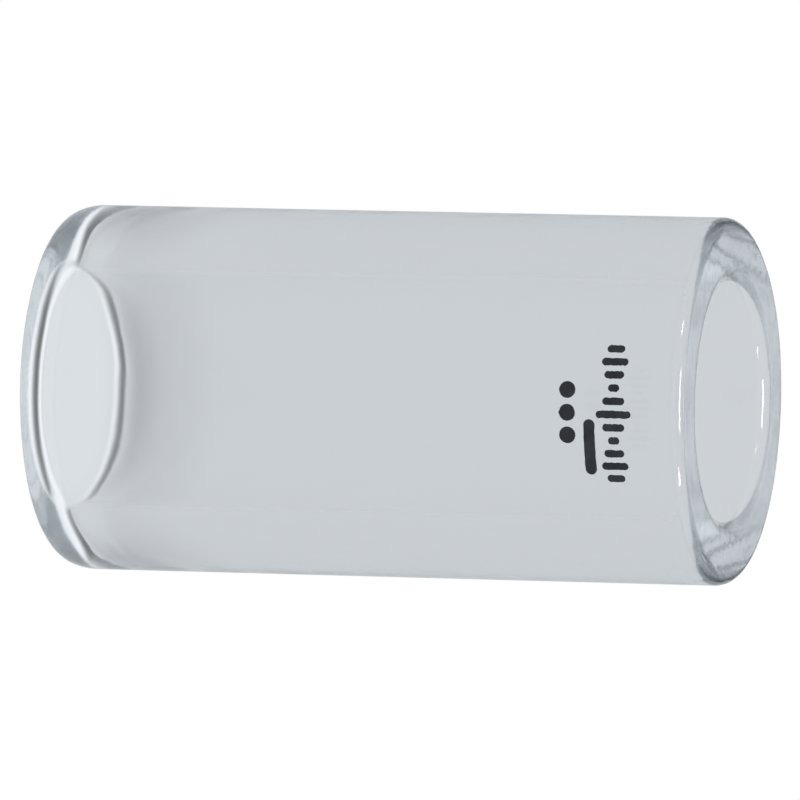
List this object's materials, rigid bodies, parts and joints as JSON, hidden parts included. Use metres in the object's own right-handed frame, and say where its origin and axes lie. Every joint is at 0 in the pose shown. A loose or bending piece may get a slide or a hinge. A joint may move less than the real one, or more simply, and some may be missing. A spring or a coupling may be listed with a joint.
{
  "type": "guitar slide",
  "caption": "Heavy-wall clear glass finger slide for guitar: a straight open tube with rounded, fire-polished ends and a small dark printed mark near one end.",
  "frame": {"origin": "centre of the bore in the plane of the lower end face", "axes": "+Z along the bore, from the plain end to the end with the printed mark; -Y faces the printed mark; +X is to the right of someone reading the mark"},
  "size_m": [0.0286, 0.0286, 0.0538],
  "materials": {
    "clear_glass": "polished clear borosilicate glass, fire-polished at both ends",
    "fired_ink": "satin near-black ceramic ink, fired on"
  },
  "bodies": {
    "root": {"glass_tube": "clear_glass", "ink_bar_01": "fired_ink", "ink_bar_02": "fired_ink", "ink_bar_03": "fired_ink", "ink_bar_04": "fired_ink", "ink_bar_05": "fired_ink", "ink_bar_06": "fired_ink", "ink_bar_07": "fired_ink", "ink_bar_08": "fired_ink", "ink_bar_09": "fired_ink", "ink_bar_10": "fired_ink", "ink_bar_11": "fired_ink", "ink_dash": "fired_ink", "ink_pip_1": "fired_ink", "ink_pip_2": "fired_ink", "ink_pip_3": "fired_ink"}
  },
  "joints": []
}
